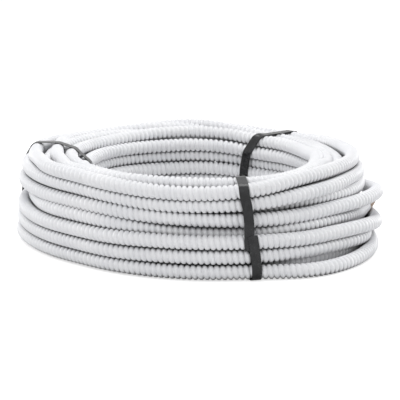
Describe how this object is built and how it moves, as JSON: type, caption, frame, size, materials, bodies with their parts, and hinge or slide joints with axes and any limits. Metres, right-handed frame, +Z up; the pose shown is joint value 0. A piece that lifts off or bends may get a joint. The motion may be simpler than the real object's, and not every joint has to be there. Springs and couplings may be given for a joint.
{
  "type": "flexible conduit coil",
  "caption": "Loose flat-lying coil of pale grey corrugated flexible PVC conduit, bound at intervals by black plastic strapping, for drawing electrical cables through.",
  "frame": {"origin": "on the coil's axis, at the level of the floor that it lies on", "axes": "+Z up along the coil's axis, -Y towards the side that the picture shows"},
  "size_m": [0.42, 0.42, 0.1091],
  "materials": {
    "conduit": "satin",
    "strapping": "embossed"
  },
  "bodies": {
    "root": {"conduit_coil": "conduit", "strap_front": "strapping", "strap_back": "strapping", "strap_left": "strapping"}
  },
  "joints": []
}
